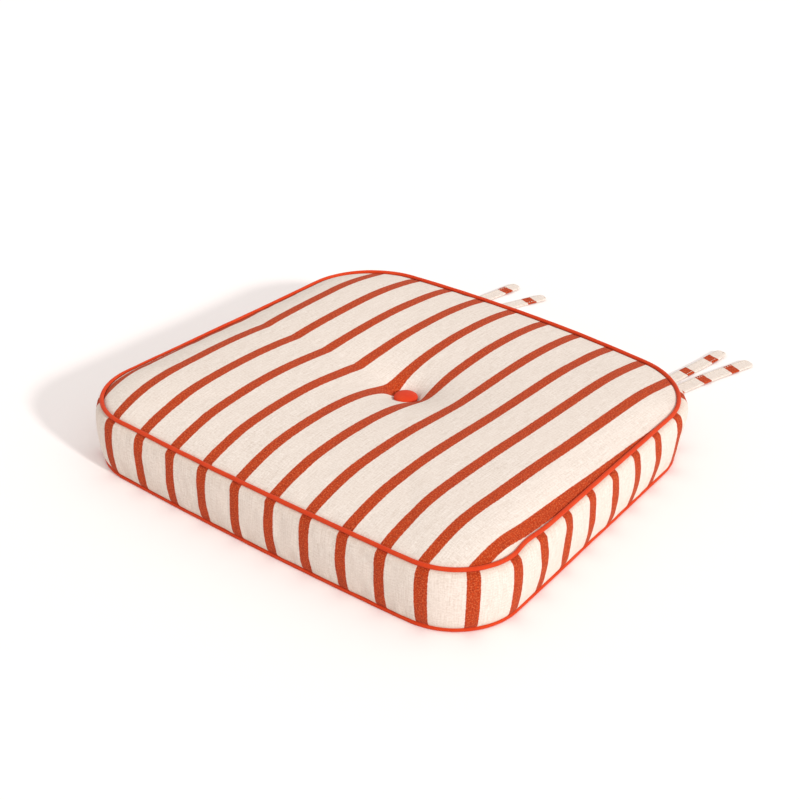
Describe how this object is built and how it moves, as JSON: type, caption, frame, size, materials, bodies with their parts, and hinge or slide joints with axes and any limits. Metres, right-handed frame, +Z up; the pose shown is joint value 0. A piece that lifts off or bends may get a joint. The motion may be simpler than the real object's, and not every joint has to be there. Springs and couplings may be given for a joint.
{
  "type": "chair seat pad",
  "caption": "Boxed seat pad with a crowned striped cover, red piped edges, a tufting button in the middle, a zip along the back and tie straps at the back corners.",
  "frame": {"origin": "on the flat underside that rests on the seat, in the middle of the pad's width and depth (the ties are not counted)", "axes": "+X across the pad, +Y from the front edge to the back edge with the ties, +Z up"},
  "size_m": [0.4242, 0.5245, 0.0705],
  "materials": {
    "striped_cloth": "woven cotton and linen canvas, cream with brick-red stripes every 36 mm",
    "piping_cloth": "plain orange-red cotton, bias cut over cord and button",
    "piping_cord": "twisted white cotton filler cord",
    "foam": "cut polyurethane upholstery foam",
    "polyester_fibre": "white bonded polyester wadding",
    "zip_tape": "cream woven polyester zip tape",
    "zip_coil": "cream nylon coil",
    "zip_metal": "tumbled nickel-plated zinc",
    "button_metal": "pressed aluminium",
    "twine": "waxed upholstery twine"
  },
  "bodies": {
    "pad": {"top_panel": "striped_cloth", "bottom_panel": "striped_cloth", "boxing_strip": "striped_cloth", "zip_boxing_upper": "striped_cloth", "zip_boxing_lower": "striped_cloth", "piping_top_cover": "piping_cloth", "piping_bottom_cover": "piping_cloth", "piping_top_cord": "piping_cord", "piping_bottom_cord": "piping_cord", "foam_core": "foam", "fibre_wrap_top": "polyester_fibre", "fibre_wrap_bottom": "polyester_fibre", "fibre_wrap_edge": "polyester_fibre", "zip_tape_upper": "zip_tape", "zip_tape_lower": "zip_tape", "zip_coil_upper": "zip_coil", "zip_coil_lower": "zip_coil", "button_top_cover": "piping_cloth", "button_under_cover": "piping_cloth", "button_top_shell": "button_metal", "button_under_shell": "button_metal", "button_top_shank": "button_metal", "button_under_shank": "button_metal", "tuft_twine": "twine", "tie_seam_ends": "striped_cloth"},
    "zip_slider": {"zip_slider": "zip_metal"},
    "zip_pull": {"zip_pull": "zip_metal"},
    "tie_right_inner": {"tie_right_inner": "striped_cloth"},
    "tie_right_outer": {"tie_right_outer": "striped_cloth"},
    "tie_left_outer": {"tie_left_outer": "striped_cloth"},
    "tie_left_inner": {"tie_left_inner": "striped_cloth"}
  },
  "joints": [
    {"name": "zip_run", "type": "hinge", "parent": "pad", "child": "zip_slider", "pos_m": [0, -1.04478, 0.0291], "axis": [0, 0, 1], "range_deg": [0, 10.3]},
    {"name": "zip_pull_flip", "type": "hinge", "parent": "zip_slider", "child": "zip_pull", "pos_m": [0.11133, 0.19049, 0.0291], "axis": [0, 0, -1], "range_deg": [0, 150]},
    {"name": "tie_right_inner_fold", "type": "hinge", "parent": "pad", "child": "tie_right_inner", "pos_m": [0.107, 0.18706, 0.0059], "axis": [0.9962, -0.0865, 0], "range_deg": [-70, 60]},
    {"name": "tie_right_outer_fold", "type": "hinge", "parent": "pad", "child": "tie_right_outer", "pos_m": [0.1235, 0.18552, 0.0059], "axis": [0.995, -0.0999, 0], "range_deg": [-70, 60]},
    {"name": "tie_left_outer_fold", "type": "hinge", "parent": "pad", "child": "tie_left_outer", "pos_m": [-0.1235, 0.18552, 0.0059], "axis": [0.995, 0.0999, 0], "range_deg": [-70, 60]},
    {"name": "tie_left_inner_fold", "type": "hinge", "parent": "pad", "child": "tie_left_inner", "pos_m": [-0.107, 0.18706, 0.0059], "axis": [0.9962, 0.0865, 0], "range_deg": [-70, 60]}
  ]
}
